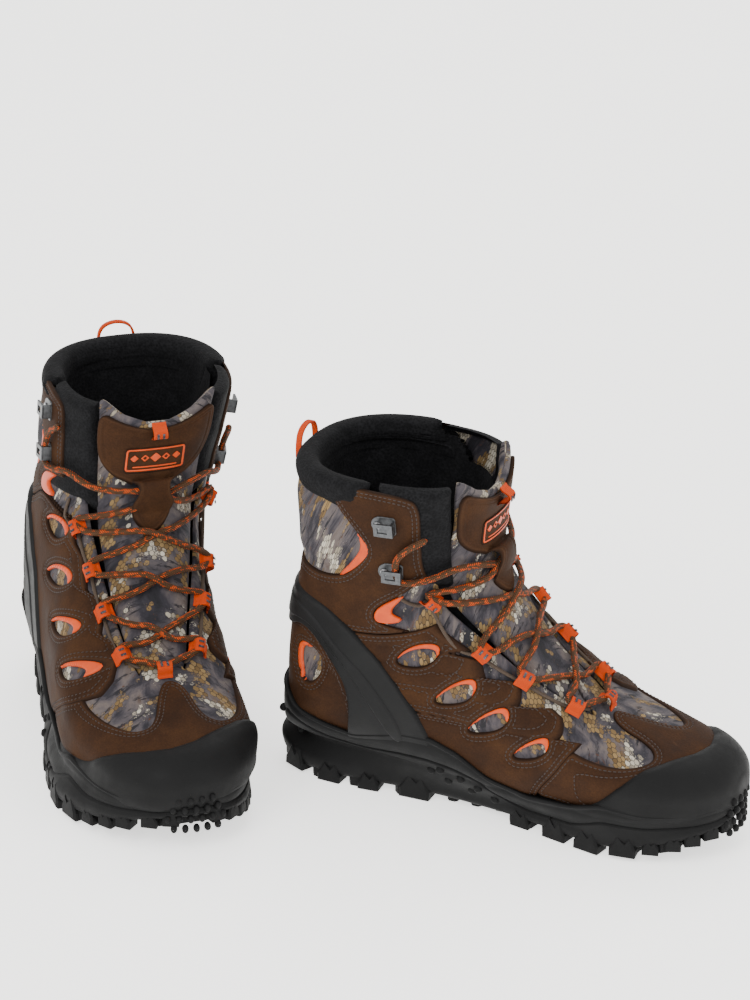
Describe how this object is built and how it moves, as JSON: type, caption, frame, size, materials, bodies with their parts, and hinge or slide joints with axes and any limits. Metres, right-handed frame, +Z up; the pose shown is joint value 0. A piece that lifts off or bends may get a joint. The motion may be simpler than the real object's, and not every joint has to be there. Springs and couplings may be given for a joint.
{
  "type": "pair of insulated hunting boots",
  "caption": "Pair of ankle-high insulated hunting boots: brown nubuck panels over camouflage textile, lugged rubber soles, webbing lace loops and speed hooks.",
  "frame": {"origin": "on the ground, at the centre of the pair's bounding box", "axes": "+Z up from the ground, +X to the right and +Y away as the pair is seen from the front: the right boot stands at -X with its toes towards -Y, the left boot at +X with its toes turned out by 50 degrees"},
  "size_m": [0.4669, 0.3188, 0.239],
  "materials": {
    "outsole_rubber": "matt moulded carbon rubber",
    "midsole_foam": "matt moulded foam skin",
    "moulded_black": "satin thermoplastic urethane",
    "spring_steel": "plain strip",
    "board": "fibre board",
    "footbed_felt": "needled felt",
    "lining_fabric": "brushed knit over insulation",
    "camo_textile": null,
    "stiffener": "thermoformed sheet",
    "nubuck": "brown nubuck",
    "orange_trim": "satin moulded edging",
    "orange_webbing": "woven tape",
    "dark_metal": "dark nickel",
    "rivet_steel": "turned",
    "lace_cord": "round braid with orange flecks",
    "label": "debossed patch with a plain border"
  },
  "bodies": {
    "right_boot": {"right_outsole": "outsole_rubber", "right_midsole": "midsole_foam", "right_shank": "spring_steel", "right_insole_board": "board", "right_footbed": "footbed_felt", "right_lining": "lining_fabric", "right_textile_upper": "camo_textile", "right_heel_counter": "stiffener", "right_toe_puff": "stiffener", "right_toe_cap": "outsole_rubber", "right_toe_leather": "nubuck", "right_inner_quarter": "nubuck", "right_outer_quarter": "nubuck", "right_inner_ankle_leather": "nubuck", "right_outer_ankle_leather": "nubuck", "right_heel_leather": "nubuck", "right_heel_strap": "moulded_black", "right_window_trims": "orange_trim", "right_collar_pad": "camo_textile", "right_lace_loops": "orange_webbing", "right_lace_hooks": "dark_metal", "right_hook_rivets": "rivet_steel", "right_lace_lower": "lace_cord", "right_lace_upper": "lace_cord", "right_tongue_base": "camo_textile"},
    "right_tongue": {"right_tongue": "camo_textile", "right_tongue_patch": "nubuck", "right_tongue_label": "label", "right_tongue_loop": "orange_webbing"},
    "right_heel_tab": {"right_heel_loop": "orange_webbing"},
    "left_boot": {"left_outsole": "outsole_rubber", "left_midsole": "midsole_foam", "left_shank": "spring_steel", "left_insole_board": "board", "left_footbed": "footbed_felt", "left_lining": "lining_fabric", "left_textile_upper": "camo_textile", "left_heel_counter": "stiffener", "left_toe_puff": "stiffener", "left_toe_cap": "outsole_rubber", "left_toe_leather": "nubuck", "left_inner_quarter": "nubuck", "left_outer_quarter": "nubuck", "left_inner_ankle_leather": "nubuck", "left_outer_ankle_leather": "nubuck", "left_heel_leather": "nubuck", "left_heel_strap": "moulded_black", "left_window_trims": "orange_trim", "left_collar_pad": "camo_textile", "left_lace_loops": "orange_webbing", "left_lace_hooks": "dark_metal", "left_hook_rivets": "rivet_steel", "left_lace_lower": "lace_cord", "left_lace_upper": "lace_cord", "left_tongue_base": "camo_textile"},
    "left_tongue": {"left_tongue": "camo_textile", "left_tongue_patch": "nubuck", "left_tongue_label": "label", "left_tongue_loop": "orange_webbing"},
    "left_heel_tab": {"left_heel_loop": "orange_webbing"}
  },
  "joints": [
    {"name": "right_tongue_tilt", "type": "hinge", "parent": "right_boot", "child": "right_tongue", "pos_m": [-0.13892, 0.01281, 0.157], "axis": [0.9632, 0.2689, 0], "range_deg": [0, 18], "stiffness_Nm_per_rad": 0.3, "deforming": ["right_lace_upper"]},
    {"name": "right_heel_tab_fold", "type": "hinge", "parent": "right_boot", "child": "right_heel_tab", "pos_m": [-0.16675, 0.13824, 0.22], "axis": [0.9632, 0.2689, 0], "range_deg": [-75, 0], "stiffness_Nm_per_rad": 0.004},
    {"name": "left_boot_lift", "type": "slide", "parent": "right_boot", "child": "left_boot", "axis": [0, 0, 1], "range_m": [0, 0.25]},
    {"name": "left_tongue_tilt", "type": "hinge", "parent": "left_boot", "child": "left_tongue", "pos_m": [0.08182, -0.07613, 0.157], "axis": [0.4131, 0.9107, 0], "range_deg": [0, 18], "stiffness_Nm_per_rad": 0.3, "deforming": ["left_lace_upper"]},
    {"name": "left_heel_tab_fold", "type": "hinge", "parent": "left_boot", "child": "left_heel_tab", "pos_m": [-0.03788, -0.02944, 0.22], "axis": [0.4131, 0.9107, 0], "range_deg": [-75, 0], "stiffness_Nm_per_rad": 0.004}
  ]
}
